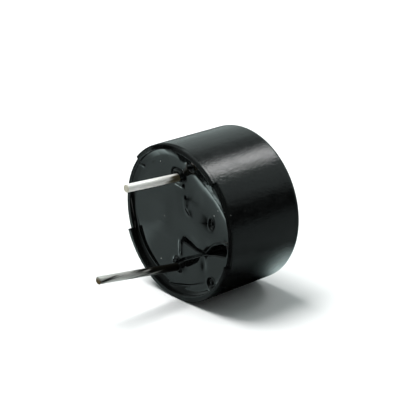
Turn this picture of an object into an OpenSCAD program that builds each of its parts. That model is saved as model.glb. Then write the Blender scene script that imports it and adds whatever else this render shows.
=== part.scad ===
// Magnetic buzzer with its own drive circuit, through-hole, sealed with potting compound.
// It stands on its sound face: z = 0 is the face with the port, +Z runs towards the lead tips,
// and the positive lead lies on +X. All sizes are in millimetres.

/* [Housing] */
// Outer diameter of the moulded cup
body_d = 12; // [11:0.1:16]
// Height from the sound face to the raised rim
body_h = 7.1; // [7:0.1:12]
// Thickness of the sound face
face_wall = 0.7; // [0.5:0.05:1]
// Wall round the diaphragm and the magnet
bore_wall = 0.62; // [0.55:0.01:0.8]
// Thinner wall round the mouth, beyond the circuit board
mouth_wall = 0.42; // [0.35:0.01:0.5]
// Rounding of the edge between the face and the side
edge_r = 0.4; // [0.2:0.05:0.6]
// Diameter of the sound port
port_d = 2; // [1.2:0.1:3]
// Depth of the step that rings the port
port_step = 0.15; // [0.1:0.05:0.3]
// Width of the step that rings the port
port_step_w = 0.5; // [0.3:0.1:1]
// Diameter of the resonance chamber behind the face
chamber_d = 9.4; // [8.5:0.1:9.8]
// Height of the resonance chamber
chamber_h = 1; // [0.8:0.05:1.6]
// Width of the key rib in the bore
key_w = 0.8; // [0.5:0.1:1.2]
// How far the key rib stands out of the wall
key_depth = 0.35; // [0.2:0.05:0.5]

/* [Rim] */
// How far the raised arcs stand above the rest of the rim
rim_rise = 0.25; // [0.15:0.05:0.5]
// Rounding of the raised arcs' edges
rim_edge_r = 0.1; // [0.03:0.01:0.15]
// Rounding of the outer edge where the rim is low
ledge_edge_r = 0.2; // [0.05:0.01:0.25]
// Angle that the raised arc beside the positive lead spans
positive_arc = 141; // [90:1:160]
// Angle that the raised arc beside the negative lead spans
negative_arc = 91; // [60:1:120]
// Turn of both arcs from the line of the leads
rim_turn = 2; // [-10:0.5:10]

/* [Diaphragm] */
// Thickness of the steel diaphragm
diaphragm_t = 0.08; // [0.05:0.01:0.12]
// Diameter of the moving mass on the diaphragm
armature_d = 3.8; // [2.5:0.1:5]
// Thickness of the moving mass
armature_t = 0.3; // [0.2:0.05:0.4]
// Gap between the diaphragm and the pole core
air_gap = 0.25; // [0.15:0.05:0.4]

/* [Magnet system] */
// Thickness of the support ring's lip under the diaphragm
lip_t = 0.32; // [0.2:0.02:0.5]
// Width of the seat that the lip gives the diaphragm
lip_w = 0.75; // [0.5:0.05:1]
// Wall of the support ring's skirt round the magnet
skirt_wall = 0.25; // [0.2:0.05:0.3]
// Height of the ring magnet
magnet_h = 2; // [1.8:0.1:3]
// Radial width of the ring magnet
magnet_w = 1.5; // [1:0.1:1.8]
// Thickness of the yoke plate
yoke_t = 0.5; // [0.4:0.05:0.8]
// Diameter of the pole core
core_d = 2; // [1.5:0.1:2.4]
// Rounding of the core's end
core_edge_r = 0.07; // [0.03:0.01:0.1]
// Diameter of the core's shoulder on the yoke plate's coil side
core_foot_d = 2.6; // [2.4:0.1:3]
// Height of the core's shoulder
core_foot_h = 0.2; // [0.1:0.05:0.3]

/* [Coil] */
// Wall of the bobbin's tube
bobbin_wall = 0.2; // [0.15:0.05:0.3]
// Thickness of the bobbin's flanges
flange_t = 0.18; // [0.15:0.01:0.3]
// How far the flanges stand beyond the windings
flange_lip = 0.2; // [0.1:0.05:0.4]
// Radial depth of the inner, feedback winding
feedback_depth = 0.6; // [0.4:0.05:0.8]
// Thickness of the tape round the windings
tape_t = 0.06; // [0.04:0.01:0.1]
// Diameter of the coil's wire ends
wire_d = 0.14; // [0.1:0.02:0.2]

/* [Circuit board] */
// Thickness of the insulating sheet between yoke and board
insulator_t = 0.12; // [0.08:0.02:0.2]
// Thickness of the board
board_t = 0.5; // [0.4:0.05:0.8]
// Thickness of the copper tracks and pads
copper_t = 0.05; // [0.035:0.005:0.07]
// Width of the tracks
track_w = 0.32; // [0.25:0.01:0.4]
// Diameter of the pads round the leads
lead_pad_d = 1.7; // [1.4:0.1:2]
// Length of the transistor's body
transistor_l = 2.9; // [2.8:0.05:3]
// Width of the transistor's body
transistor_w = 1.3; // [1.2:0.05:1.4]
// Height of the transistor above the copper
transistor_h = 1; // [0.9:0.05:1.1]
// Width over the transistor's legs
transistor_span = 2.4; // [2.2:0.05:2.5]
// Distance between the transistor's two legs on one side
transistor_pitch = 1.9; // [1.8:0.05:2]
// Length of the chip resistor
resistor_l = 1.6; // [1:0.1:2]
// Width of the chip resistor
resistor_w = 0.8; // [0.5:0.1:1]
// Height of the chip resistor
resistor_h = 0.45; // [0.35:0.05:0.6]
// Length of the resistor's metal ends
resistor_cap = 0.3; // [0.2:0.05:0.4]

/* [Leads] */
// Diameter of the round leads
lead_d = 0.6; // [0.5:0.05:0.8]
// Distance between the leads at the board
lead_pitch = 7.1; // [6.5:0.1:8]
// Length of the positive lead beyond the raised rim
positive_reach = 7.2; // [3:0.1:12]
// Length of the negative lead beyond the raised rim
negative_reach = 4.5; // [3:0.1:10]
// Lean of the positive lead towards -X, in degrees
positive_lean = 8.5; // [0.5:0.5:12]
// Lean of the negative lead towards -X, in degrees
negative_lean = 4; // [0.5:0.5:12]
// Bend radius of the leads, to their centre line
bend_r = 2; // [1:0.1:3]
// Chamfer of the cut ends
cut_chamfer = 0.05; // [0.02:0.01:0.1]

/* [Seal] */
// Depth of the compound's surface below the raised rim
seal_depth = 0.57; // [0.4:0.01:0.8]
// Radius of the meniscus at the wall
meniscus_r = 0.24; // [0.1:0.01:0.3]
// Radius of the collar that the compound draws up each lead
collar_r = 0.45; // [0.15:0.05:0.5]

/* [Clearances] */
// Between the bore and the pieces that drop into it
bore_clear = 0.05; // [0.03:0.01:0.1]
// Between the key rib and the notches that it fits
key_clear = 0.05; // [0.03:0.01:0.1]
// Between the core and the bobbin, and between skirt and magnet
core_clear = 0.04; // [0.02:0.01:0.08]
// Between the bobbin's flanges and the magnet
coil_clear = 0.3; // [0.2:0.05:0.5]
// Between the leads and the holes in the board
hole_clear = 0.05; // [0.03:0.01:0.1]
// Round the coil's wire ends in their slot
slot_clear = 0.14; // [0.1:0.01:0.2]

/* [Hidden] */
$fn = 96;
cut = 0.5; // how far a cutting shape runs past what it cuts
land = 0.04; // thickness at the ends of a fillet

// Radii, from the wall inwards
body_r = body_d / 2;
bore_r = body_r - bore_wall;
mouth_r = body_r - mouth_wall;
stack_r = bore_r - bore_clear;
magnet_or = stack_r - skirt_wall - core_clear;
magnet_ir = magnet_or - magnet_w;
flange_r = magnet_ir - coil_clear;
drive_or = flange_r - flange_lip;
tube_ir = core_d / 2 + core_clear;
tube_or = tube_ir + bobbin_wall;
feedback_or = tube_or + feedback_depth;

// Heights, from the sound face upwards
seat_z = face_wall + chamber_h;
lip_z = seat_z + diaphragm_t;
magnet_z = lip_z + lip_t;
yoke_z = magnet_z + magnet_h;
insulator_z = yoke_z + yoke_t;
board_z = insulator_z + insulator_t;
copper_z = board_z + board_t;
parts_z = copper_z + copper_t;
core_z = lip_z + air_gap;
coil_top_z = yoke_z - core_foot_h;
flange_z = coil_top_z - flange_t;
winding_z = core_z + flange_t;
seal_z = body_h - seal_depth;
ledge_z = body_h - rim_rise;

// Places on the board
key_at = 90;
slot_w = 2 * (slot_clear + wire_d) + wire_d;
wire_x = wire_d;
wire_lift = 0.03;
feedback_y = -(tube_or + feedback_or) / 2;
drive_y = -(feedback_or + drive_or) / 2;
pad_w = 0.7;
pad_l = 0.5;
wire_pad_x = 1.45;
transistor_y = 2.45;
leg_w = 0.4;
leg_t = 0.12;
foot_l = 0.35;
leg_y = (transistor_span - foot_l) / 2;
resistor_x = 2.5;
resistor_y = 2.2;
cap_y = (resistor_l - resistor_cap) / 2;
positive_at = [lead_pitch / 2, 0];
negative_at = [-lead_pitch / 2, 0];

// ---- shared shapes ----

// A disc, or a ring where inner is more than 0, from z upwards
module ring(outer, inner, z, h) {
    translate([0, 0, z])
        difference() {
            cylinder(r = outer, h = h);
            if (inner > 0) translate([0, 0, -cut]) cylinder(r = inner, h = h + 2 * cut);
        }
}

// What a rounded corner leaves over: the corner lies at the origin and the waste reaches +X and +Y
module corner_waste(r) {
    difference() {
        translate([-cut, -cut]) square(r + cut);
        translate([r, r]) circle(r = r, $fn = 48);
    }
}

// A concave fillet for a corner at the origin; its two ends are blunt by land, not knife edges
module fillet(r) {
    difference() {
        square(r + land);
        translate([r + land, r + land]) circle(r = r, $fn = 48);
    }
}

// The key rib on the bore's wall; grow widens it into the notch that it fits
module key_bar(grow, z, h) {
    rotate(key_at)
        translate([bore_r - key_depth - grow, -key_w / 2 - grow, z])
            cube([body_r - bore_r + key_depth + grow, key_w + 2 * grow, h]);
}

// The slot through which the coil's four wire ends pass
module wire_slot(z, h) {
    translate([-slot_w / 2, drive_y - slot_w / 2, z])
        cube([slot_w, feedback_y - drive_y + slot_w, h]);
}

// A round-cornered track of copper between two points
module track(a, b) {
    run = b - a;
    translate([a[0], a[1], copper_z]) {
        cylinder(d = track_w, h = copper_t, $fn = 24);
        rotate(atan2(run[1], run[0]))
            translate([0, -track_w / 2, 0]) cube([norm(run), track_w, copper_t]);
    }
    translate([b[0], b[1], copper_z]) cylinder(d = track_w, h = copper_t, $fn = 24);
}

// A pad of copper, centred on a point
module pad(at, size) {
    translate([at[0] - size[0] / 2, at[1] - size[1] / 2, copper_z]) cube([size[0], size[1], copper_t]);
}

// ---- the housing ----

// The cup's wall and face, as one turned section as high as the raised rim
module cup_section() {
    difference() {
        square([body_r, body_h]);
        translate([-cut, -cut]) square([port_d / 2 + cut, body_h + 2 * cut]);
        translate([-cut, -cut]) square([port_d / 2 + port_step_w + cut, port_step + cut]);
        translate([0, face_wall]) square([chamber_d / 2, chamber_h + cut]);
        translate([0, seat_z]) square([bore_r, body_h]);
        translate([0, copper_z]) square([mouth_r, body_h]);
        translate([body_r, 0]) mirror([1, 0]) corner_waste(edge_r);
        translate([body_r, body_h]) rotate(180) corner_waste(rim_edge_r);
        translate([mouth_r, body_h]) rotate(-90) corner_waste(rim_edge_r);
    }
}

// What is cut away to lower the rim, starting at one raised arc's end
module rim_gap(start) {
    rotate(start)
        rotate_extrude(angle = 180 - (positive_arc + negative_arc) / 2)
            union() {
                translate([mouth_r - cut, ledge_z]) square([body_r - mouth_r + 2 * cut, rim_rise + cut]);
                translate([body_r, ledge_z]) rotate(180) corner_waste(ledge_edge_r);
            }
}

module housing() {
    color([0.09, 0.09, 0.10]) {
        difference() {
            rotate_extrude() cup_section();
            rim_gap(rim_turn + positive_arc / 2);
            rim_gap(rim_turn + negative_arc / 2 + 180);
        }
        intersection() {
            key_bar(0, yoke_z, copper_z - yoke_z);
            cylinder(r = body_r - bore_wall / 2, h = body_h);
        }
    }
}

// ---- the sounding parts ----

module diaphragm() {
    color([0.75, 0.76, 0.78]) ring(stack_r, 0, seat_z, diaphragm_t);
}

// The mass welded to the middle of the diaphragm, on the chamber side
module armature_disc() {
    color([0.62, 0.63, 0.66]) ring(armature_d / 2, 0, seat_z - armature_t, armature_t);
}

// Lip and skirt: it spaces the diaphragm from the magnet and centres the magnet in the bore
module support_ring() {
    color([0.92, 0.92, 0.88])
        rotate_extrude()
            union() {
                translate([stack_r - lip_w, lip_z]) square([lip_w, lip_t]);
                translate([stack_r - skirt_wall, lip_z]) square([skirt_wall, yoke_z - lip_z]);
            }
}

module magnet_ring() {
    color([0.22, 0.21, 0.21]) ring(magnet_or, magnet_ir, magnet_z, magnet_h);
}

module yoke_plate() {
    color([0.72, 0.72, 0.74])
        difference() {
            ring(stack_r, core_d / 2, yoke_z, yoke_t);
            key_bar(key_clear, yoke_z - cut, yoke_t + 2 * cut);
            wire_slot(yoke_z - cut, yoke_t + 2 * cut);
        }
}

// The core passes through the yoke plate and stands on it with its shoulder
module pole_core() {
    color([0.66, 0.66, 0.68])
        rotate_extrude()
            union() {
                difference() {
                    translate([0, core_z]) square([core_d / 2, insulator_z - core_z]);
                    translate([core_d / 2, core_z]) mirror([1, 0]) corner_waste(core_edge_r);
                }
                translate([0, coil_top_z]) square([core_foot_d / 2, core_foot_h]);
            }
}

// ---- the coil ----

module coil_bobbin() {
    color([0.93, 0.90, 0.80])
        difference() {
            rotate_extrude()
                union() {
                    translate([tube_ir, core_z]) square([bobbin_wall, coil_top_z - core_z]);
                    translate([tube_ir, core_z]) square([flange_r - tube_ir, flange_t]);
                    translate([tube_ir, flange_z]) square([flange_r - tube_ir, flange_t]);
                }
            wire_slot(flange_z - cut / 2, flange_t + cut);
        }
}

module feedback_winding() {
    color([0.72, 0.38, 0.18]) ring(feedback_or, tube_or, winding_z, flange_z - winding_z);
}

module drive_winding() {
    color([0.80, 0.44, 0.20]) ring(drive_or - tape_t, feedback_or, winding_z, flange_z - winding_z);
}

module coil_tape() {
    color([0.88, 0.74, 0.28]) ring(drive_or, drive_or - tape_t, winding_z, flange_z - winding_z);
}

// One end of the coil: up through the slot, over a quarter bend and out to its pad
module wire_end(side, y) {
    wire_bend_r = 2 * wire_d;
    rise = parts_z + wire_lift + wire_d / 2 - wire_bend_r;
    translate([side * wire_x, y, 0])
        mirror([side < 0 ? 1 : 0, 0, 0]) {
            translate([0, 0, flange_z]) cylinder(d = wire_d, h = rise - flange_z, $fn = 24);
            translate([wire_bend_r, 0, rise])
                rotate([90, 0, 0])
                    rotate(90)
                        rotate_extrude(angle = 90, $fn = 48)
                            translate([wire_bend_r, 0]) circle(d = wire_d, $fn = 24);
            translate([wire_bend_r, 0, rise + wire_bend_r])
                rotate([0, 90, 0])
                    cylinder(d = wire_d, h = wire_pad_x - wire_x - wire_bend_r, $fn = 24);
        }
}

module coil_wires() {
    color([0.78, 0.42, 0.20])
        for (side = [-1, 1]) {
            wire_end(side, feedback_y);
            wire_end(side, drive_y);
        }
}

// ---- the drive circuit ----

module insulator_sheet() {
    color([0.85, 0.70, 0.35])
        difference() {
            ring(stack_r, 0, insulator_z, insulator_t);
            key_bar(key_clear, insulator_z - cut, insulator_t + 2 * cut);
            wire_slot(insulator_z - cut, insulator_t + 2 * cut);
        }
}

module circuit_board() {
    color([0.30, 0.45, 0.22])
        difference() {
            ring(stack_r, 0, board_z, board_t);
            key_bar(key_clear, board_z - cut, board_t + 2 * cut);
            wire_slot(board_z - cut, board_t + 2 * cut);
            for (at = [positive_at, negative_at])
                translate([at[0], at[1], board_z - cut])
                    cylinder(r = lead_d / 2 + hole_clear, h = board_t + 2 * cut, $fn = 48);
        }
}

// The oscillator's one copper layer: both windings start at the positive lead, the drive winding
// ends at the collector, and the feedback winding reaches the base through the resistor
module board_copper() {
    emitter = [-transistor_pitch / 2, transistor_y + leg_y];
    base = [transistor_pitch / 2, transistor_y + leg_y];
    collector = [0, transistor_y - leg_y];
    cap_near = [resistor_x, resistor_y - cap_y];
    cap_far = [resistor_x, resistor_y + cap_y];
    detour = -wire_pad_x - pad_w / 2 - 1.5 * track_w;
    color([0.80, 0.50, 0.25])
        difference() {
            union() {
                for (side = [-1, 1]) {
                    pad([side * wire_pad_x, feedback_y], [pad_w, pad_l]);
                    pad([side * wire_pad_x, drive_y], [pad_w, pad_l]);
                }
                for (at = [emitter, base, collector]) pad(at, [leg_w + 0.2, foot_l + 0.3]);
                for (at = [cap_near, cap_far]) pad(at, [resistor_w + 0.1, resistor_cap + 0.3]);
                for (at = [positive_at, negative_at])
                    translate([at[0], at[1], copper_z]) cylinder(d = lead_pad_d, h = copper_t);
                track([wire_pad_x, drive_y], positive_at);
                track([wire_pad_x, feedback_y], positive_at);
                track([-wire_pad_x, drive_y], [detour, feedback_y]);
                track([detour, feedback_y], [detour, 0]);
                track([detour, 0], collector);
                track([-wire_pad_x, feedback_y], [0, 0]);
                track([0, 0], cap_near);
                track(cap_far, base);
                track(emitter, negative_at);
            }
            for (at = [positive_at, negative_at])
                translate([at[0], at[1], copper_z - cut])
                    cylinder(r = lead_d / 2 + hole_clear, h = copper_t + 2 * cut, $fn = 48);
        }
}

// Moulded body with drafted sides, as two crossed trapezoid prisms
module transistor_body() {
    lift = 0.08;
    draft = 0.12;
    top = transistor_h - lift;
    mid = top / 2;
    half_l = transistor_l / 2;
    half_w = transistor_w / 2;
    color([0.12, 0.12, 0.13])
        translate([0, transistor_y, parts_z + lift])
            intersection() {
                rotate([90, 0, 0])
                    linear_extrude(height = transistor_w, center = true)
                        polygon([[-half_l + draft, 0], [half_l - draft, 0], [half_l, mid],
                                 [half_l - draft, top], [-half_l + draft, top], [-half_l, mid]]);
                rotate([90, 0, 90])
                    linear_extrude(height = transistor_l, center = true)
                        polygon([[-half_w + draft, 0], [half_w - draft, 0], [half_w, mid],
                                 [half_w - draft, top], [-half_w + draft, top], [-half_w, mid]]);
            }
}

// A gull-wing leg in side view, from the body's side at y = 0 to its foot
module leg_section() {
    reach = (transistor_span - transistor_w) / 2;
    knee = (transistor_h + 0.08) / 2;
    step = reach - foot_l;
    polygon([[-0.06, knee - leg_t / 2], [step, knee - leg_t / 2], [step + 0.04, 0], [reach, 0],
             [reach, leg_t], [step + leg_t + 0.04, leg_t], [step + leg_t, knee + leg_t / 2],
             [-0.06, knee + leg_t / 2]]);
}

module leg(x, side) {
    translate([x, transistor_y + side * transistor_w / 2, parts_z])
        mirror([0, side < 0 ? 1 : 0, 0])
            rotate([90, 0, 90])
                linear_extrude(height = leg_w, center = true) leg_section();
}

module transistor_legs() {
    color([0.80, 0.80, 0.82])
        difference() {
            union() {
                leg(-transistor_pitch / 2, 1);
                leg(transistor_pitch / 2, 1);
                leg(0, -1);
            }
            transistor_body();
        }
}

module resistor_body() {
    color([0.16, 0.16, 0.18])
        translate([resistor_x - resistor_w / 2, resistor_y - resistor_l / 2 + 0.03, parts_z + 0.03])
            cube([resistor_w, resistor_l - 0.06, resistor_h - 0.06]);
}

// Metal ends that wrap the body above, below and at the end
module resistor_caps() {
    color([0.82, 0.82, 0.84])
        difference() {
            for (end = [-1, 1])
                translate([resistor_x - resistor_w / 2, resistor_y + end * cap_y - resistor_cap / 2,
                           parts_z])
                    cube([resistor_w, resistor_cap, resistor_h]);
            resistor_body();
        }
}

// ---- leads and solder ----

// A round lead: straight through the board and the compound, one slight bend, straight to the tip
module lead(at, lean, reach) {
    straight = reach + seal_depth - bend_r * sin(lean);
    translate([at[0], at[1], 0]) {
        translate([0, 0, board_z]) cylinder(d = lead_d, h = seal_z - board_z, $fn = 48);
        translate([-bend_r, 0, seal_z])
            rotate([90, 0, 0]) {
                rotate_extrude(angle = lean) translate([bend_r, 0]) circle(d = lead_d, $fn = 48);
                rotate(lean)
                    translate([bend_r, 0, 0])
                        rotate([-90, 0, 0]) {
                            cylinder(d = lead_d, h = straight - cut_chamfer, $fn = 48);
                            translate([0, 0, straight - cut_chamfer])
                                cylinder(d1 = lead_d, d2 = lead_d - 2 * cut_chamfer, h = cut_chamfer,
                                         $fn = 48);
                        }
            }
    }
}

module positive_lead() {
    color([0.82, 0.82, 0.80]) lead(positive_at, positive_lean, positive_reach);
}

module negative_lead() {
    color([0.82, 0.82, 0.80]) lead(negative_at, negative_lean, negative_reach);
}

// Solder fills each lead's hole and draws up from the pad in a fillet
module lead_solder() {
    solder_r = (lead_pad_d - lead_d) / 2 - 2 * land;
    color([0.75, 0.76, 0.78])
        for (at = [positive_at, negative_at])
            translate([at[0], at[1], 0])
                rotate_extrude($fn = 48)
                    union() {
                        translate([lead_d / 2, board_z]) square([hole_clear, parts_z - board_z]);
                        translate([lead_d / 2, parts_z]) fillet(solder_r);
                    }
}

// A mound of solder over each wire end
module wire_solder() {
    foot_r = pad_l / 2;
    crown_r = wire_d;
    color([0.75, 0.76, 0.78])
        difference() {
            for (side = [-1, 1])
                for (y = [feedback_y, drive_y])
                    translate([side * wire_pad_x, y, parts_z])
                        cylinder(r1 = foot_r, r2 = crown_r, h = 2 * wire_d, $fn = 48);
            coil_wires();
        }
}

// ---- the seal ----

// The compound fills the mouth above the board and wets the wall and both leads
module epoxy_seal() {
    color([0.06, 0.06, 0.07])
        difference() {
            union() {
                rotate_extrude()
                    union() {
                        translate([0, copper_z]) square([mouth_r, seal_z - copper_z]);
                        translate([mouth_r, seal_z]) mirror([1, 0]) fillet(meniscus_r);
                    }
                for (at = [positive_at, negative_at])
                    translate([at[0], at[1], seal_z])
                        rotate_extrude($fn = 48)
                            union() {
                                square([lead_d / 2, collar_r + land]);
                                translate([lead_d / 2, 0]) fillet(collar_r);
                            }
            }
            positive_lead();
            negative_lead();
            lead_solder();
            wire_solder();
            coil_wires();
            board_copper();
            transistor_body();
            transistor_legs();
            resistor_body();
            resistor_caps();
        }
}

housing();
diaphragm();
armature_disc();
support_ring();
magnet_ring();
yoke_plate();
pole_core();
coil_bobbin();
feedback_winding();
drive_winding();
coil_tape();
coil_wires();
insulator_sheet();
circuit_board();
board_copper();
transistor_body();
transistor_legs();
resistor_body();
resistor_caps();
lead_solder();
wire_solder();
positive_lead();
negative_lead();
epoxy_seal();
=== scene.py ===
# %% [markdown]
# # A sealed magnetic buzzer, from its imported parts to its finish
# The moulded cup, the two leads and the works inside come in as a fixed frame, in metres.
# This script adds what turned and moulded solids can't show: the potting compound as it set,
# the tinned wire, the finish of each material, and a small white studio.
# Nothing of the frame is moved. What needs another shape is built here and stands for its solid.

# %% Load the frame and measure it
import math
import bpy
import numpy as np
from mathutils import Euler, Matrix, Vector


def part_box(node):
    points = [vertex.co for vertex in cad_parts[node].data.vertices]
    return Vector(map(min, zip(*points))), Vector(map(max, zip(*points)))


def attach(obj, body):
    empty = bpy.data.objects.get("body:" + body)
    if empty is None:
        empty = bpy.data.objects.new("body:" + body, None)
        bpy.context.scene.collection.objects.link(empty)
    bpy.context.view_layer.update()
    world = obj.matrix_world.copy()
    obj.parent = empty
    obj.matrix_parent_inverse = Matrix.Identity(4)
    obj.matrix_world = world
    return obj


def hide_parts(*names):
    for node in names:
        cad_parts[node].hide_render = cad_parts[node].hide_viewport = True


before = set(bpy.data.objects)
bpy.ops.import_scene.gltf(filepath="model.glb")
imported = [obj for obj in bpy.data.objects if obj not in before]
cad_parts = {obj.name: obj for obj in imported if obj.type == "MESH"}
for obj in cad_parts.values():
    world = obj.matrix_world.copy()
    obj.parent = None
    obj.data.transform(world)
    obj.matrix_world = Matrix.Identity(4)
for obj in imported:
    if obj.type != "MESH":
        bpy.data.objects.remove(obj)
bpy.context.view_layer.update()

MM = 0.001
cup_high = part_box("housing")[1]
cup_radius = cup_high.x
rim_z = cup_high.z
print("cup radius %.2f mm, raised rim at %.2f mm" % (cup_radius / MM, rim_z / MM))

# %% [markdown]
# ## The camera
# The buzzer lies on its side, and a long lens looks down on it by some 21 degrees, from the side
# of the leads. A short lens close by would make the near rim look far larger than the face behind
# it, so the camera stands about 105 mm away with a 120 mm lens. The floor is the plane that the
# cup's side touches, so "up" in the studio is close to -X in the part's own frame.

# %% Camera
LENS_MM, SENSOR_MM = 120, 36
CLIP_NEAR, CLIP_FAR = 0.005, 5
camera_place = Vector((-39.447, 72.442, 68.304)) * MM
camera_turn = Euler([math.radians(a) for a in (-21.558, 48.407, 90.614)])
camera_data = bpy.data.cameras.new("camera")
camera_data.lens = LENS_MM
camera_data.sensor_width = SENSOR_MM
camera_data.clip_start = CLIP_NEAR
camera_data.clip_end = CLIP_FAR
camera = bpy.data.objects.new("camera", camera_data)
camera.location = camera_place
camera.rotation_euler = camera_turn
bpy.context.scene.collection.objects.link(camera)
bpy.context.scene.camera = camera
print("camera %.1f mm from the sound face" % (camera_place.length / MM))

# %% The studio's directions
touch = math.radians(1.1)  # the line on which the cup touches the floor lies this far from +X
up = Vector((-math.cos(touch), -math.sin(touch), 0))
looks = camera_turn.to_matrix() @ Vector((0, 0, -1))
away = (looks - up * looks.dot(up)).normalized()
right = away.cross(up)
middle = Vector((0, 0, rim_z / 2))
print("camera looks down by %.1f degrees" % math.degrees(math.asin(-looks.dot(up))))


def studio_direction(elevation, azimuth):
    """A direction seen from the part: azimuth 0 is away from the camera, 90 is to the right."""
    e, a = math.radians(elevation), math.radians(azimuth)
    return up * math.sin(e) + (away * math.cos(a) + right * math.sin(a)) * math.cos(e)


# %% [markdown]
# ## Node helpers
# Every finish below is a small node tree. These helpers keep each line of such a tree short:
# *node* adds a node, *join* links two sockets, *calculate* does arithmetic on sockets or numbers,
# *ramp* maps a value from one span to another, and *blend* mixes two colours by a mask.
# Values that are the same all over a piece go straight onto the shader's own sockets.

# %% Helpers for node trees
def node(tree, kind, **values):
    made = tree.nodes.new(kind)
    for name, value in values.items():
        setattr(made, name, value)
    return made


def join(tree, out, into):
    tree.links.new(out, into)


def feed(tree, value, into):
    """Links a socket, or sets a number or a colour."""
    if isinstance(value, (int, float)):
        into.default_value = value
    elif isinstance(value, tuple):
        into.default_value = (*value, 1)
    else:
        join(tree, value, into)


def calculate(tree, operation, *values):
    made = node(tree, "ShaderNodeMath", operation=operation)
    for value, socket in zip(values, made.inputs):
        feed(tree, value, socket)
    return made.outputs[0]


def ramp(tree, value, start, end, low=0.0, high=1.0, kind="SMOOTHSTEP"):
    """Maps start..end to low..high, and holds the end values beyond it."""
    span = node(tree, "ShaderNodeMapRange", interpolation_type=kind)
    numbers = {"From Min": start, "From Max": end, "To Min": low, "To Max": high}
    for label, number in numbers.items():
        span.inputs[label].default_value = number
    join(tree, value, span.inputs["Value"])
    return span.outputs["Result"]


def blend(tree, mask, a, b):
    """Colour a where the mask is 0, colour b where it is 1."""
    mix = node(tree, "ShaderNodeMix", data_type="RGBA")
    join(tree, mask, mix.inputs["Factor"])
    feed(tree, a, mix.inputs["A"])
    feed(tree, b, mix.inputs["B"])
    return mix.outputs["Result"]


def object_place(tree):
    """The place on the piece, in metres, as a vector and as X, Y and Z."""
    coords = node(tree, "ShaderNodeTexCoord").outputs["Object"]
    split = node(tree, "ShaderNodeSeparateXYZ")
    join(tree, coords, split.inputs[0])
    return coords, split.outputs


# %% New materials and groups
def new_material(name, **values):
    material = bpy.data.materials.new(name)
    material.use_nodes = True
    shader = material.node_tree.nodes["Principled BSDF"]
    for socket, value in values.items():
        shader.inputs[socket.replace("_", " ")].default_value = value
    return material, material.node_tree, shader


def new_group(name, inputs, outputs):
    group = bpy.data.node_groups.new(name, "ShaderNodeTree")
    for label, kind, value in inputs:
        socket = group.interface.new_socket(name=label, in_out="INPUT", socket_type=kind)
        socket.default_value = value
    for label, kind in outputs:
        group.interface.new_socket(name=label, in_out="OUTPUT", socket_type=kind)
    return group, node(group, "NodeGroupInput"), node(group, "NodeGroupOutput")


FLOAT, COLOUR, VECTOR = "NodeSocketFloat", "NodeSocketColor", "NodeSocketVector"
BLACK, WHITE = (0, 0, 0, 1), (1, 1, 1, 1)

# %% [markdown]
# ## Shared effects
# Three effects come back in many of the finishes, so each is a group with its own inputs.
# *Mottle* drifts between two colours, as pigment and oxide do. *Grain* is the fine tooth that a
# spark-eroded mould or a drawn metal leaves, given as a normal. *Dust* is a mask of rare specks.
# All three read object coordinates in metres, so their scale is the real one from any side.

# %% The mottle group
MIDDLE = 0.5  # a noise value lies round this, and contrast spreads it from here
mottle, g_in, g_out = new_group(
    "mottle",
    [("Scale", FLOAT, 800), ("Contrast", FLOAT, 1),
     ("Colour A", COLOUR, BLACK), ("Colour B", COLOUR, WHITE)],
    [("Colour", COLOUR), ("Mask", FLOAT)],
)
coords = node(mottle, "ShaderNodeTexCoord")
noise = node(mottle, "ShaderNodeTexNoise")
noise.inputs["Detail"].default_value = 4
noise.inputs["Roughness"].default_value = 0.6
join(mottle, coords.outputs["Object"], noise.inputs["Vector"])
join(mottle, g_in.outputs["Scale"], noise.inputs["Scale"])
shifted = calculate(mottle, "SUBTRACT", noise.outputs["Fac"], MIDDLE)
spread = calculate(mottle, "MULTIPLY_ADD", shifted, g_in.outputs["Contrast"], MIDDLE)
spread.node.use_clamp = True
drift = blend(mottle, spread, g_in.outputs["Colour A"], g_in.outputs["Colour B"])
join(mottle, drift, g_out.inputs["Colour"])
join(mottle, spread, g_out.inputs["Mask"])
print("group", mottle.name, "with", len(mottle.nodes), "nodes")

# %% The grain group
grain, g_in, g_out = new_group(
    "grain",
    [("Scale", FLOAT, 6000), ("Stretch", VECTOR, (1, 1, 1)),
     ("Height", FLOAT, 0.2), ("Depth", FLOAT, 0.00001)],
    [("Normal", VECTOR), ("Mask", FLOAT)],
)
coords = node(grain, "ShaderNodeTexCoord")
stretched = node(grain, "ShaderNodeVectorMath", operation="MULTIPLY")
noise = node(grain, "ShaderNodeTexNoise")
noise.inputs["Detail"].default_value = 3
bump = node(grain, "ShaderNodeBump")
join(grain, coords.outputs["Object"], stretched.inputs[0])
join(grain, g_in.outputs["Stretch"], stretched.inputs[1])
join(grain, stretched.outputs[0], noise.inputs["Vector"])
join(grain, g_in.outputs["Scale"], noise.inputs["Scale"])
join(grain, noise.outputs["Fac"], bump.inputs["Height"])
join(grain, g_in.outputs["Height"], bump.inputs["Strength"])
join(grain, g_in.outputs["Depth"], bump.inputs["Distance"])
join(grain, bump.outputs["Normal"], g_out.inputs["Normal"])
join(grain, noise.outputs["Fac"], g_out.inputs["Mask"])
print("group", grain.name, "with", len(grain.nodes), "nodes")

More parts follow.
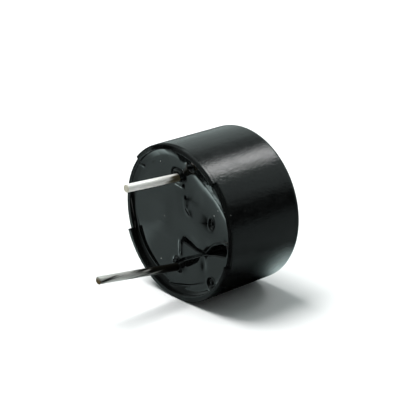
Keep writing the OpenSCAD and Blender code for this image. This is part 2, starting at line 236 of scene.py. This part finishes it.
# %% The dust group
CELLS_WITH_DUST = 0.16  # the share of the cells that hold a speck
dust, g_in, g_out = new_group("dust", [("Scale", FLOAT, 1500), ("Size", FLOAT, 0.08)], [("Mask", FLOAT)])
coords = node(dust, "ShaderNodeTexCoord")
cells = node(dust, "ShaderNodeTexVoronoi")
pick = node(dust, "ShaderNodeSeparateColor")
join(dust, coords.outputs["Object"], cells.inputs["Vector"])
join(dust, g_in.outputs["Scale"], cells.inputs["Scale"])
join(dust, cells.outputs["Color"], pick.inputs["Color"])
near = calculate(dust, "LESS_THAN", cells.outputs["Distance"], g_in.outputs["Size"])
rare = calculate(dust, "LESS_THAN", pick.outputs[0], CELLS_WITH_DUST)
join(dust, calculate(dust, "MULTIPLY", near, rare), g_out.inputs["Mask"])
print("group", dust.name, "with", len(dust.nodes), "nodes")


# %% Placing the groups in a material
def place_group(tree, group, **values):
    made = node(tree, "ShaderNodeGroup", node_tree=group)
    for name, value in values.items():
        made.inputs[name.replace("_", " ")].default_value = value
    return made


def place_mottle(tree, shader, scale, contrast, a, b, rough=None):
    made = place_group(tree, mottle, Scale=scale, Contrast=contrast, Colour_A=(*a, 1), Colour_B=(*b, 1))
    join(tree, made.outputs["Colour"], shader.inputs["Base Color"])
    if rough:
        join(tree, ramp(tree, made.outputs["Mask"], 0, 1, *rough, "LINEAR"), shader.inputs["Roughness"])
    return made.outputs["Colour"]


def place_grain(tree, shader, scale, height, depth, stretch=(1, 1, 1)):
    made = place_group(tree, grain, Scale=scale, Stretch=stretch, Height=height, Depth=depth)
    join(tree, made.outputs["Normal"], shader.inputs["Normal"])


def place_dust(tree, shader, scale, size, under, light):
    made = place_group(tree, dust, Scale=scale, Size=size)
    join(tree, blend(tree, made.outputs["Mask"], under, light), shader.inputs["Base Color"])


# %% [markdown]
# ## The cup's plastic
# The cup is moulded in black, glass-filled plastic. It is satin, not glossy: the fill leaves a fine
# tooth that breaks a highlight into grains. The colour is nearly black, so almost all that one
# sees is reflection, and the tooth and the roughness do the work. Drag lines from the mould run
# along the cup's axis, so a second grain is stretched that way. The rim's land falls a little
# towards the outside on one side, which a slope added to the bump's height gives.

# %% Housing material
TOOTH_DEPTH, DRAG_DEPTH = 0.000017, 0.000012
CROWN_SLOPE = -0.24
LAND_FROM, LAND_TO = rim_z - 0.00033, rim_z - 0.00030
CROWN_FROM_Y, CROWN_TO_Y = -0.003, 0.001
plastic, tree, shader = new_material("moulded_plastic", IOR=1.52)
pigment = place_mottle(tree, shader, scale=1500, contrast=2.2,
                       a=(0.0022, 0.0024, 0.0024), b=(0.005, 0.0054, 0.0054), rough=(0.1, 0.22))
place_dust(tree, shader, scale=1300, size=0.05, under=pigment, light=(0.12, 0.12, 0.115))
tooth = place_group(tree, grain, Scale=7500)
drag = place_group(tree, grain, Scale=2600, Stretch=(1, 1, 0.3))
grains = calculate(tree, "MULTIPLY", tooth.outputs["Mask"], TOOTH_DEPTH)
grains = calculate(tree, "MULTIPLY_ADD", drag.outputs["Mask"], DRAG_DEPTH, grains)
place, along = object_place(tree)
flat = node(tree, "ShaderNodeVectorMath", operation="MULTIPLY")
flat.inputs[1].default_value = (1, 1, 0)
radius = node(tree, "ShaderNodeVectorMath", operation="LENGTH")
join(tree, place, flat.inputs[0])
join(tree, flat.outputs[0], radius.inputs[0])
on_rim = ramp(tree, along["Z"], LAND_FROM, LAND_TO, 0.0, CROWN_SLOPE, "LINEAR")
crown = calculate(tree, "MULTIPLY", on_rim, ramp(tree, along["Y"], CROWN_FROM_Y, CROWN_TO_Y))
bump = node(tree, "ShaderNodeBump")
bump.inputs["Distance"].default_value = 1.0
join(tree, calculate(tree, "MULTIPLY_ADD", radius.outputs["Value"], crown, grains), bump.inputs["Height"])
join(tree, bump.outputs["Normal"], shader.inputs["Normal"])
print("material", plastic.name, "with", len(tree.nodes), "nodes")

# %% [markdown]
# ## The potting compound's finish
# Black epoxy sets as smooth as glass and mirrors its surroundings. What shows is the sculpted
# surface itself, so the material only adds a slow ripple, a little haze and a few specks of dust.

# %% Compound material
compound, tree, shader = new_material("potting_compound", IOR=1.53)
resin = place_mottle(tree, shader, scale=500, contrast=1.5,
                     a=(0.0015, 0.0017, 0.0017), b=(0.003, 0.0033, 0.0033), rough=(0.035, 0.08))
place_grain(tree, shader, scale=900, height=0.12, depth=0.00001)
place_dust(tree, shader, scale=1900, size=0.065, under=resin, light=(0.5, 0.5, 0.48))
print("material", compound.name, "with", len(tree.nodes), "nodes")

# %% [markdown]
# ## The metals
# The steel diaphragm is rolled and clean, the yoke and the core are turned and plated, and the
# solder has run. Each is the same recipe with other colours and grains: a drift between two
# tones, a span of roughness, and a grain that follows the way in which the metal was worked.

# %% A recipe for metals
METAL_CONTRAST, METAL_GRAIN, METAL_DEPTH = 2.0, 4, 0.000008


def metal(name, a, b, rough, scale, height, stretch=(1, 1, 1), metallic=1.0):
    material, tree, shader = new_material(name, Metallic=metallic)
    place_mottle(tree, shader, scale, METAL_CONTRAST, a, b, rough)
    place_grain(tree, shader, scale * METAL_GRAIN, height, METAL_DEPTH, stretch)
    return material


spring_steel = metal("rolled_steel", (0.50, 0.51, 0.53), (0.66, 0.67, 0.69), rough=(0.16, 0.3),
                     scale=700, height=0.2, stretch=(1, 0.1, 1))
iron = metal("plated_iron", (0.36, 0.36, 0.37), (0.55, 0.55, 0.56), rough=(0.25, 0.42),
             scale=900, height=0.3)
solder = metal("solder", (0.52, 0.53, 0.55), (0.70, 0.71, 0.73), rough=(0.12, 0.32),
               scale=1200, height=0.3)
copper = metal("board_copper", (0.55, 0.24, 0.10), (0.72, 0.36, 0.18), rough=(0.2, 0.4),
               scale=1000, height=0.2)
ferrite = metal("ferrite", (0.018, 0.017, 0.017), (0.04, 0.038, 0.037), rough=(0.5, 0.75),
                scale=1600, height=0.5, metallic=0.1)
print("metals", [m.name for m in (spring_steel, iron, solder, copper, ferrite)])

# %% [markdown]
# ## The leads' tinned wire
# Each lead is dipped bright, then darkens in streaks near the seal: a stain where flux and resin have
# crept up it, and on the long lead also painted shade, a near black at its foot. Its cut end bares
# the core. The stain with that painted shade, and the bare end, are masks along the lead's height,
# broken up by noise, so one recipe serves for both leads at their own lengths. The oxide takes
# the shine off tin, so both wires are only partly metallic.

# %% Lead material
TIN_DULL, TIN_BRIGHT = (0.84, 0.83, 0.78), (0.97, 0.96, 0.93)
TIN_SCALE, TIN_CONTRAST = 1500, 2.0
STAIN_SCALE, STAIN_STRETCH = 2600, (1, 1, 0.07)
STAIN_EDGE = (0.40, 0.60)
TIN_ROUGH = (0.28, 0.5)
SEAL_Z = rim_z - 0.0008
BARE_FROM, BARE_TO = -0.00010, -0.00003


def lead_material(name, tip_z, at_tip, at_seal, stain_and_shade_colour, bare_colour, metallic):
    """The strength of the stain and its painted shade goes from at_tip to at_seal along the wire."""
    material, tree, shader = new_material(name, Metallic=metallic)
    place, along = object_place(tree)
    tin = place_mottle(tree, shader, TIN_SCALE, TIN_CONTRAST, TIN_DULL, TIN_BRIGHT)
    streaks = node(tree, "ShaderNodeVectorMath", operation="MULTIPLY")
    streaks.inputs[1].default_value = STAIN_STRETCH
    stain = node(tree, "ShaderNodeTexNoise")
    stain.inputs["Scale"].default_value = STAIN_SCALE
    stain.inputs["Detail"].default_value = 3
    join(tree, place, streaks.inputs[0])
    join(tree, streaks.outputs[0], stain.inputs["Vector"])
    creep = ramp(tree, along["Z"], tip_z, SEAL_Z, at_tip, at_seal)
    edge = ramp(tree, calculate(tree, "ADD", creep, stain.outputs["Fac"]), *STAIN_EDGE)
    tip = ramp(tree, along["Z"], tip_z + BARE_FROM, tip_z + BARE_TO)
    stained_and_shaded = blend(tree, edge, tin, stain_and_shade_colour)
    join(tree, blend(tree, tip, stained_and_shaded, bare_colour), shader.inputs["Base Color"])
    dullness = ramp(tree, stain.outputs["Fac"], 0, 1, *TIN_ROUGH, "LINEAR")
    join(tree, dullness, shader.inputs["Roughness"])
    place_grain(tree, shader, scale=5000, height=0.35, depth=0.00001, stretch=(1, 1, 0.15))
    return material


long_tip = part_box("positive_lead")[1].z
short_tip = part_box("negative_lead")[1].z
# Near the seal the long lead's stain colour is near black, partly painted shade at the lead's foot.
long_wire = lead_material("tinned_wire_long", long_tip, at_tip=-0.12, at_seal=0.24, metallic=0.65,
                          stain_and_shade_colour=(0.012, 0.011, 0.008), bare_colour=(0.15, 0.10, 0.045))
short_wire = lead_material("tinned_wire_short", short_tip, at_tip=-0.75, at_seal=0.10, metallic=0.2,
                           stain_and_shade_colour=(0.08, 0.07, 0.04), bare_colour=(0.60, 0.56, 0.46))
print("lead tips at %.2f and %.2f mm" % (long_tip / MM, short_tip / MM))

# %% [markdown]
# ## The works' plastics, board and windings
# None of these shows once the cup is sealed, but each keeps its own finish for a cut-away view:
# pale nylon for the bobbin and the ring, amber tape, fish paper, green glass-epoxy board, and
# windings whose turns appear as fine ridges round the axis.

# %% A recipe for dull pieces
DULL_CONTRAST, DULL_GRAIN, DULL_DEPTH = 1.8, 5, 0.00001


def dull(name, a, b, rough, scale, height, stretch=(1, 1, 1), **values):
    material, tree, shader = new_material(name, **values)
    place_mottle(tree, shader, scale, DULL_CONTRAST, a, b, rough)
    place_grain(tree, shader, scale * DULL_GRAIN, height, DULL_DEPTH, stretch)
    return material


nylon = dull("pale_nylon", (0.72, 0.68, 0.56), (0.84, 0.81, 0.71), rough=(0.38, 0.5),
             scale=700, height=0.25, IOR=1.53)
tape = dull("amber_tape", (0.62, 0.42, 0.07), (0.74, 0.53, 0.12), rough=(0.12, 0.25),
            scale=900, height=0.15, Coat_Weight=0.4)
paper = dull("fish_paper", (0.52, 0.36, 0.12), (0.66, 0.48, 0.18), rough=(0.6, 0.8),
             scale=2200, height=0.5, stretch=(1, 0.3, 1))
board = dull("glass_epoxy", (0.05, 0.13, 0.035), (0.10, 0.20, 0.06), rough=(0.22, 0.36),
             scale=2500, height=0.3, Coat_Weight=0.3)
chip = dull("chip_black", (0.008, 0.008, 0.009), (0.018, 0.018, 0.02), rough=(0.4, 0.6),
            scale=2500, height=0.4)
print("dull pieces", [m.name for m in (nylon, tape, paper, board, chip)])

# %% Winding material
winding, tree, shader = new_material("enamelled_wire", Metallic=0.85, Coat_Weight=0.6)
place_mottle(tree, shader, scale=1500, contrast=1.6,
             a=(0.46, 0.17, 0.06), b=(0.66, 0.29, 0.12), rough=(0.2, 0.34))
coords = node(tree, "ShaderNodeTexCoord")
turns = node(tree, "ShaderNodeTexWave", bands_direction="Z")
turns.inputs["Scale"].default_value = 4500
turns.inputs["Distortion"].default_value = 0.4
bump = node(tree, "ShaderNodeBump")
bump.inputs["Strength"].default_value = 0.6
bump.inputs["Distance"].default_value = 0.00002
join(tree, coords.outputs["Object"], turns.inputs["Vector"])
join(tree, turns.outputs["Fac"], bump.inputs["Height"])
join(tree, bump.outputs["Normal"], shader.inputs["Normal"])
print("material", winding.name, "with", len(tree.nodes), "nodes")

# %% Every solid of the frame gets its finish
finishes = {
    "housing": plastic, "epoxy_seal": compound, "positive_lead": long_wire, "negative_lead": short_wire,
    "diaphragm": spring_steel, "armature_disc": iron, "yoke_plate": iron, "pole_core": iron,
    "magnet_ring": ferrite, "support_ring": nylon, "coil_bobbin": nylon, "coil_tape": tape,
    "feedback_winding": winding, "drive_winding": winding, "coil_wires": winding,
    "insulator_sheet": paper, "circuit_board": board, "board_copper": copper,
    "transistor_body": chip, "resistor_body": chip, "transistor_legs": solder,
    "resistor_caps": solder, "lead_solder": solder, "wire_solder": solder,
}
for name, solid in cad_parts.items():
    solid.data.materials.clear()
    solid.data.materials.append(finishes[name])
print(len(finishes), "finishes for", len(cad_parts), "solids")

# %% [markdown]
# ## The potting compound, sculpted
# The compound is poured into the mouth, wets the wall and both leads, and shrinks as it sets. That
# leaves a meniscus, lumpy collars, a wrinkle over the coil's wires, pulled creases by the long
# lead and a burst bubble or two. A flat disc with a bump map would keep a straight edge and a
# straight silhouette, so the surface is a real height field. It is laid on rings and spokes, which
# follow the round wall exactly, and each feature is one small function added to the height.

# %% Where the compound lies
SEAL_DEPTH = 0.57
lead_x = (3.55, -3.55)
lead_radius = 0.3
seal_low, seal_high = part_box("epoxy_seal")
mouth_radius = seal_high.x / MM
seal_level = rim_z / MM - SEAL_DEPTH
seal_bottom = seal_low.z / MM
print("mouth radius %.2f mm, compound level %.2f mm" % (mouth_radius, seal_level))


# %% Hills and paths, all in millimetres
def hill(x, y, at, size, height, turn=0.0):
    """A soft hump, or a dip where height is below zero."""
    c, s = math.cos(math.radians(turn)), math.sin(math.radians(turn))
    u = (x - at[0]) * c + (y - at[1]) * s
    v = (y - at[1]) * c - (x - at[0]) * s
    return height * np.exp(-(u / size[0]) ** 2 - (v / size[1]) ** 2)


def path_distance(x, y, points):
    """Distance to a path, the side it lies on (above zero is left), and the share of its length."""
    best = np.full(x.shape, np.inf)
    side = np.zeros(x.shape)
    along = np.zeros(x.shape)
    lengths = [math.dist(a, b) for a, b in zip(points, points[1:])]
    done = 0.0
    for (a, b), length in zip(zip(points, points[1:]), lengths):
        dx, dy = (b[0] - a[0]) / length, (b[1] - a[1]) / length
        t = np.clip((x - a[0]) * dx + (y - a[1]) * dy, 0, length)
        px, py = x - a[0] - dx * t, y - a[1] - dy * t
        d = np.hypot(px, py)
        closer = d < best
        best = np.where(closer, d, best)
        side = np.where(closer, dx * py - dy * px, side)
        along = np.where(closer, (done + t) / sum(lengths), along)
        done += length
    return best, side, along


# %% Folds, tears and bubbles
TEAR_GROWTH = 0.6
MOAT_AT, MOAT_WIDTH = 0.9, 0.38
LIP_AT, LIP_WIDTH, LIP_SHARE = 1.5, 0.3, 0.25


def fold(x, y, points, left, right_width, height, ends=0.15):
    """A soft ridge along a path, with its own width on each side; it fades at both ends."""
    d, side, along = path_distance(x, y, points)
    width = np.where(side > 0, left, right_width)
    fade = np.clip(along / ends, 0, 1) * np.clip((1 - along) / ends, 0, 1)
    return height * np.exp(-(d / width) ** 2) * fade


def tear(x, y, points, width, depth, start=1.0):
    """A groove with straight sides. It starts at a share of its full width and depth."""
    d, _, along = path_distance(x, y, points)
    grown = start + (1 - start) * along ** TEAR_GROWTH
    return -depth * grown * np.clip(1 - d / (width * grown), 0, 1)


def bubble(x, y, at, size, depth):
    """A bubble that stopped at the surface: a low dome inside a moat, with a faint lip round it."""
    d = np.hypot((x - at[0]) / size[0], (y - at[1]) / size[1])
    lip = LIP_SHARE * depth * np.exp(-((d - LIP_AT) / LIP_WIDTH) ** 2)
    return lip - depth * np.exp(-((d - MOAT_AT) / MOAT_WIDTH) ** 2)


# %% [markdown]
# ## The meniscus
# Where the compound wetted the wall it climbs, and how far differs round the mouth. On the floor's
# side it climbs late and steeply. On the far side it starts near the middle and climbs slowly, so
# there it is given by its slope at a few radii: a mirror shows the slope, not the height. Angles
# are in degrees from +X towards +Y.

# %% The meniscus
NEAR_RISE = [(0, 0.2), (40, 0.2), (75, 0.13), (95, 0.15), (150, 0.3), (205, 0.3), (225, 0.28),
             (286, 0.28), (296, 0.14), (330, 0.16), (360, 0.2)]
NEAR_REACH = [(0, 0.6), (40, 0.6), (75, 0.35), (95, 0.4), (150, 1.0), (205, 0.8), (225, 0.45),
              (290, 0.4), (330, 0.5), (360, 0.6)]
NEAR_POWER = 2.2
FAR_START = [(0, 1.6), (92, 1.6), (104, 1.3), (112, 1.0), (120, 0.75), (130, 0.5), (142, 0.3),
             (150, 0.25), (166, 0.2), (190, 0), (360, 0)]
FAR_SLOPE = [(0, 0), (0.8, -0.09), (1.9, -0.1), (2.4, -0.02), (2.9, 0.06), (3.5, 0.13), (3.9, 0.21),
             (4.2, 0.32), (4.35, 0.4), (5.0, 0.42), (mouth_radius, 0.36)]
FAR_SHARE = [(0, 0), (84, 0), (106, 1), (152, 1), (166, 0.8), (180, 0.4), (195, 0.15), (220, 0), (360, 0)]


def round_the_wall(angle, knots):
    """A value that changes steadily with the angle round the wall."""
    at, value = zip(*knots)
    return np.interp(np.degrees(angle) % 360, at, value)


def climb(r, knots, steps=300):
    """Height of a surface whose slope is given at a few radii, from the middle outwards."""
    at, slope = zip(*knots)
    fine = np.linspace(0, mouth_radius, steps)
    rises = np.interp(fine, at, slope) * (fine[1] - fine[0])
    return np.interp(r, fine, np.cumsum(rises))


def meniscus(r, angle):
    wall = np.clip(1 - (mouth_radius - r) / round_the_wall(angle, NEAR_REACH), 0, 1)
    near = round_the_wall(angle, NEAR_RISE) * wall ** NEAR_POWER
    far = climb(r - round_the_wall(angle, FAR_START), FAR_SLOPE)
    share = round_the_wall(angle, FAR_SHARE)
    return near * (1 - share) + far * share


# %% The collar and the lumps round each lead
COLLAR_HEIGHT, COLLAR_WIDTH = 0.34, 0.12
LUMP_CENTRES = ((3.3, -0.3), (-3.62, -0.36))
LUMP_SIZE, LUMP_HEIGHT = (0.36, 0.4), 0.2
SMALL_OUT, SMALL_SIZE, SMALL_HEIGHT = (0.05, 0.42), (0.06, 0.13), (-0.08, 0.2)
rng = np.random.default_rng(11)


def lumps(x, y, foot, centre, count=16):
    """The collar that a lead draws up, and the small lumps of compound that stuck to it."""
    d = np.maximum(np.hypot(x - foot, y) - lead_radius, 0)
    z = COLLAR_HEIGHT * np.exp(-(d / COLLAR_WIDTH)) + hill(x, y, centre, LUMP_SIZE, LUMP_HEIGHT)
    for _ in range(count):
        turn, out = rng.uniform(0, 2 * math.pi), rng.uniform(*SMALL_OUT)
        at = (centre[0] + out * math.cos(turn), centre[1] + out * math.sin(turn))
        size = (rng.uniform(*SMALL_SIZE), rng.uniform(*SMALL_SIZE))
        z += hill(x, y, at, size, rng.uniform(*SMALL_HEIGHT))
    return z


# %% [markdown]
# ## The list of features
# Everything that lies on the slow surface is one row of a table: its name, where it lies, how wide
# it is and how high. A hill or a fold with a height below zero is a hollow. So a feature is moved,
# softened or left out by its own row, and the code that adds them up stays as it is.

# %% Hills, by centre, half-widths, height and turn
HILLS = {
    "swell over the board's parts": ((-0.6, 2.2), (1.6, 1.2), 0.05, 15),
    "swell over the transistor": ((3.2, 2.2), (1.2, 1.4), 0.04, 0),
    "hollow above the upper crease": ((1.15, 1.15), (0.42, 0.75), -0.08, -8),
    "hollow below the lower crease": ((2.6, 2.6), (0.55, 0.28), -0.1, 0),
    "pit between the short lead and the wall": ((-4.6, 1.3), (0.25, 0.3), -0.35, 0),
}

# %% Folds, by path, left and right width, height and the share that fades
FOLDS = {
    "swell across the lower half": ([(-1.9, -1.7), (0.0, -1.75), (1.7, -1.9)], 0.6, 1.3, 0.05, 0.3),
    "ripple by the short lead": ([(-2.95, -0.8), (-2.85, -0.2), (-2.75, 0.35)], 0.3, 0.12, 0.07, 0.15),
    "wrinkle over the coil's wires": (
        [(-2.2, 0.3), (-1.5, 0.36), (-0.95, 0.6), (-0.8, 0.95), (-0.72, 1.35)], 0.34, 0.15, 0.034, 0.15),
    "hollow beside the wrinkle": ([(-2.3, 0.7), (-2.1, 2.4)], 0.7, 0.35, -0.03, 0.3),
    "loop between the creases": ([(1.2, 0.0), (1.7, 0.04), (2.3, 0.03), (3.0, 0.0)], 0.2, 0.2, 0.09, 0.3),
    "slit along the loop": ([(1.6, 0.04), (2.1, 0.04), (2.6, 0.02)], 0.05, 0.05, -0.05, 0.3),
    "lip above the tear": ([(1.1, 3.1), (0.55, 3.7), (0.1, 4.4), (0.15, 5.2)], 0.45, 0.1, 0.035, 0.2),
    "run at the low ledge": ([(-3.5, -4.75), (-3.3, -4.3), (-3.1, -3.95)], 0.12, 0.12, 0.05, 0.3),
    "line along the floor's side": (
        [(5.4, -1.6), (5.31, -0.53), (4.8, 1.08), (4.3, 2.2), (3.95, 2.9)], 0.1, 0.12, -0.05, 0.1),
}

# %% Tears, by path, half-width, depth and the share at their start
TEARS = {
    "slit in the wrinkle": ([(-1.2, 0.54), (-0.85, 0.95)], 0.05, 0.05, 1.0),
    "upper crease": ([(1.27, 0.45), (1.44, 1.07), (1.62, 1.74), (1.65, 2.62)], 0.14, 0.32, 1.9),
    "lower crease": ([(3.35, -0.25), (2.85, 0.42), (2.4, 1.3), (2.0, 2.1), (1.6, 2.9)], 0.07, 0.17, 1.6),
    "tear at the wall": ([(1.6, 2.9), (1.12, 3.7), (0.8, 4.62)], 0.5, 0.95, 0.1),
}

# %% Bubbles, the ripple and the rim that the compound stays below
BUBBLES = {
    "small bubble": ((-0.86, 3.26), (0.3, 0.19), 0.09),
    "large bubble": ((3.75, 3.41), (0.3, 0.28), 0.16),
}
RIPPLE_HEIGHT = 0.006
RIPPLE_WAVES = ((2.1, 0.7, 1.0), (-0.8, 1.3, 0.0))
RIM_TOP = [(0, 7.07), (70, 7.07), (74, 6.82), (134, 6.82), (138, 7.07),
           (226, 7.07), (230, 6.82), (289, 6.82), (293, 7.07), (360, 7.07)]
print(len(HILLS), "hills,", len(FOLDS), "folds,", len(TEARS), "tears,", len(BUBBLES), "bubbles")


# %% The compound's height field
def compound_height(x, y):
    r, angle = np.hypot(x, y), np.arctan2(y, x)
    z = seal_level + meniscus(r, angle)
    for shape, features in ((hill, HILLS), (fold, FOLDS), (tear, TEARS), (bubble, BUBBLES)):
        for numbers in features.values():
            z += shape(x, y, *numbers)
    for foot, centre in zip(lead_x, LUMP_CENTRES):
        z += lumps(x, y, foot, centre)
    waves = [np.sin(by_x * x + by_y * y + start) for by_x, by_y, start in RIPPLE_WAVES]
    z += RIPPLE_HEIGHT * waves[0] * waves[1]
    return np.minimum(z, round_the_wall(angle, RIM_TOP))


# %% Building the compound's mesh
def build_compound(rings=150, spokes=560, crowding=0.85):
    """Rings and spokes with a skirt down to the board; crowding below 1 packs the rings outwards."""
    radii = mouth_radius * np.linspace(0, 1, rings + 1)[1:] ** crowding
    angles = np.linspace(0, 2 * math.pi, spokes, endpoint=False)
    rr, aa = np.meshgrid(radii, angles, indexing="ij")
    x, y = rr * np.cos(aa), rr * np.sin(aa)
    top = np.stack([x, y, compound_height(x, y)], -1).reshape(-1, 3)
    centre = np.array([[0, 0, top[:spokes, 2].mean()]])
    skirt = top[-spokes:].copy()
    skirt[:, 2] = seal_bottom
    verts = np.concatenate([centre, top, skirt, [[0, 0, seal_bottom]]]) * MM
    faces = []
    for k in range(spokes):
        n = (k + 1) % spokes
        faces.append((0, 1 + k, 1 + n))
        for i in range(rings):
            a, b = 1 + i * spokes, 1 + (i + 1) * spokes
            faces.append((a + k, b + k, b + n, a + n))
        faces.append((len(verts) - 1, 1 + rings * spokes + n, 1 + rings * spokes + k))
    mesh = bpy.data.meshes.new("compound_surface")
    mesh.from_pydata([tuple(v) for v in verts], [], faces)
    mesh.validate()
    for face in mesh.polygons:
        face.use_smooth = True
    made = bpy.data.objects.new("compound_surface", mesh)
    bpy.context.scene.collection.objects.link(made)
    return made


compound_surface = build_compound()
compound_surface.data.materials.append(compound)
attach(compound_surface, "root")
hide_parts("epoxy_seal")
heights = [v.co.z / MM for v in compound_surface.data.vertices]
print("compound from %.2f to %.2f mm" % (min(heights), max(heights)))
print("compound has", len(compound_surface.data.polygons), "faces")

# %% [markdown]
# ## The studio floor
# The floor is a sheet of white paper that touches the cup's side. Its back is clear, so a view from
# below or from behind still shows the part. To a mirror, a white floor would be one bright field
# and the black part would look grey, so for glossy rays the floor's colour is painted light and shade,
# as a shaded table would show: a painted lit sheet on the left, a painted brighter spot within it,
# a painted faint sheet on the right and a painted lit patch in front.

# %% Floor
FLOOR_HALF = 0.12


def build_floor():
    under = middle - up * cup_radius
    sides = ((-1, -1), (-1, 1), (1, 1), (1, -1))
    corners = [under + (away * a + right * b) * FLOOR_HALF for a, b in sides]
    mesh = bpy.data.meshes.new("floor")
    mesh.from_pydata([tuple(c) for c in corners], [], [(0, 1, 2, 3)])
    if mesh.polygons[0].normal.dot(up) < 0:
        mesh.flip_normals()
    made = bpy.data.objects.new("floor", mesh)
    bpy.context.scene.collection.objects.link(made)
    return made


floor = build_floor()
print("floor touches the cup's side, normal", [round(c, 3) for c in up])

# %% The painted reflections that glossy rays see on the floor
paper_and_painted_reflections, tree, shader = new_material("studio_paper_and_painted_reflections", Roughness=1.0, Specular_IOR_Level=0.0)
geometry = node(tree, "ShaderNodeNewGeometry")
path = node(tree, "ShaderNodeLightPath")


def floor_ramp(direction, start, end, low, high):
    """A painted grey, seen by glossy rays, that changes across the floor in one direction; start and end
    are in millimetres.
    """
    dot = node(tree, "ShaderNodeVectorMath", operation="DOT_PRODUCT")
    dot.inputs[1].default_value = direction
    join(tree, geometry.outputs["Position"], dot.inputs[0])
    return ramp(tree, dot.outputs["Value"], start * MM, end * MM, low, high)


def product(*greys):
    total = greys[0]
    for grey in greys[1:]:
        total = calculate(tree, "MULTIPLY", total, grey)
    return total


# Painted reflections: lit and shaded greys on the floor that only glossy rays see.
painted_lit_sheet_left = product(
    floor_ramp(right, -6, -1, 0.33, 0.0), floor_ramp(right, -75, -37, 0.3, 1.0),
    floor_ramp(away, -11.5, -6.5, 0.0, 1.0), floor_ramp(away, 3.0, 4.6, 1.0, 0.04),
)
painted_bright_spot = product(
    floor_ramp(right, -20, -15, 0.0, 0.9), floor_ramp(right, -9, -6, 1.0, 0.0),
    floor_ramp(away, -0.9, 2.0, 0.0, 1.0), floor_ramp(away, 2.3, 3.6, 1.0, 0.0),
)
painted_faint_sheet_right = floor_ramp(right, 6, 10, 0.0, 0.13)
painted_lit_patch_near = product(
    floor_ramp(right, 1.2, 3.4, 0.0, 1.6), floor_ramp(right, 4.2, 9, 1.0, 0.0),
    floor_ramp(away, -5.2, -2.4, 0.12, 1.0),
)
painted_sheets = calculate(tree, "ADD", painted_lit_sheet_left, painted_faint_sheet_right)
painted_sheets = calculate(tree, "ADD", painted_sheets, calculate(tree, "ADD", painted_bright_spot, painted_lit_patch_near))
painted_sheets = product(painted_sheets, floor_ramp(away, 9, 20, 1.0, 0.15))
print("floor sheets use", len(tree.nodes), "nodes")

# %% Floor material
COOL_LIGHT, PAPER_GREY = (0.84, 1.0, 0.99), (0.86, 0.86, 0.86)
cool = node(tree, "ShaderNodeVectorMath", operation="SCALE")
cool.inputs[0].default_value = COOL_LIGHT
join(tree, painted_sheets, cool.inputs["Scale"])
# Glossy rays see the painted reflection greys, tinted cool; all other rays see plain paper grey.
grey = blend(tree, path.outputs["Is Glossy Ray"], PAPER_GREY, cool.outputs["Vector"])
join(tree, grey, shader.inputs["Base Color"])
clear = node(tree, "ShaderNodeBsdfTransparent")
shown = node(tree, "ShaderNodeMixShader")
join(tree, geometry.outputs["Backfacing"], shown.inputs[0])
join(tree, shader.outputs[0], shown.inputs[1])
join(tree, clear.outputs[0], shown.inputs[2])
join(tree, shown.outputs[0], tree.nodes["Material Output"].inputs["Surface"])
floor.data.materials.append(paper_and_painted_reflections)
print("material", paper_and_painted_reflections.name, "with", len(tree.nodes), "nodes")

# %% [markdown]
# ## Light
# A black, glossy thing is lit by what it mirrors. The world is white to the camera, and to the
# part it is a room: grey all round, lighter at the back, dark behind the camera and low on both
# sides, with one strong soft box high on the right. Painting these zones into the world by
# direction keeps them out of every view, where real cards would stand in the way. Two lamps light
# the floor and give the shadow, and no mirror shows them.

# %% The studio's world
world = bpy.data.worlds.new("studio")
bpy.context.scene.world = world
world.use_nodes = True
tree = world.node_tree
background = tree.nodes["Background"]
coords = node(tree, "ShaderNodeTexCoord")


def zone(elevation, azimuth, inner, outer):
    """1 within inner degrees of a direction, 0 beyond outer degrees."""
    dot = node(tree, "ShaderNodeVectorMath", operation="DOT_PRODUCT")
    dot.inputs[1].default_value = studio_direction(elevation, azimuth)
    join(tree, coords.outputs["Generated"], dot.inputs[0])
    return ramp(tree, dot.outputs["Value"], math.cos(math.radians(outer)), math.cos(math.radians(inner)))


def paint(level, mask, value):
    """Blends the level towards a value where the mask is 1."""
    mix = node(tree, "ShaderNodeMix", data_type="FLOAT")
    join(tree, mask, mix.inputs["Factor"])
    feed(tree, level, mix.inputs["A"])
    feed(tree, value, mix.inputs["B"])
    return mix.outputs["Result"]


# %% The room's zones, by elevation, azimuth, inner and outer angle, and level
ROOM_LEVEL, CAMERA_LEVEL = 0.5, 1.0
COOL_ROOM = (0.85, 1.0, 0.98)
ZONES = {
    "dark behind the camera": ((10, 180, 40, 75), 0.02),
    "light wall at the back": ((18, 0, 20, 45), 0.62),
    "dim low on the left": ((14, -95, 12, 34), 0.17),
    "dark on the near right": ((30, 130, 20, 36), 0.06),
    "flag low on the right": ((7, 100, 9, 22), 0.0),
    "dim under the soft box": ((47, 22, 6, 14), 0.24),
}
BOX_ZONE, BOX_LEVEL = (50, 54, 4, 10), 8.0
level = ROOM_LEVEL
for place, value in ZONES.values():
    level = paint(level, zone(*place), value)
box_mask = zone(*BOX_ZONE)
level = paint(level, box_mask, BOX_LEVEL)
path = node(tree, "ShaderNodeLightPath")
to_camera = path.outputs["Is Camera Ray"]
join(tree, paint(level, to_camera, CAMERA_LEVEL), background.inputs["Strength"])
white = calculate(tree, "MAXIMUM", box_mask, to_camera)
join(tree, blend(tree, white, COOL_ROOM, WHITE[:3]), background.inputs["Color"])
print("world with", len(ZONES) + 1, "zones and", len(tree.nodes), "nodes")


# %% Lamps
def softbox(name, elevation, azimuth, distance, size, power):
    """A round lamp that lights the part, but shows neither in mirrors nor in a view."""
    data = bpy.data.lights.new(name, "AREA")
    data.shape = "DISK"
    data.size = size
    data.energy = power
    made = bpy.data.objects.new(name, data)
    made.location = middle + studio_direction(elevation, azimuth) * distance
    made.rotation_mode = "QUATERNION"
    made.rotation_quaternion = (made.location - middle).to_track_quat("Z", "Y")
    made.visible_glossy = False
    made.visible_camera = False
    bpy.context.scene.collection.objects.link(made)


softbox("key", elevation=68, azimuth=-62, distance=0.35, size=0.22, power=1.7)
softbox("fill", elevation=38, azimuth=105, distance=0.4, size=0.35, power=0.13)

# %% View transform and the end
scene = bpy.context.scene
scene.view_settings.view_transform = "Standard"
scene.view_settings.look = "None"
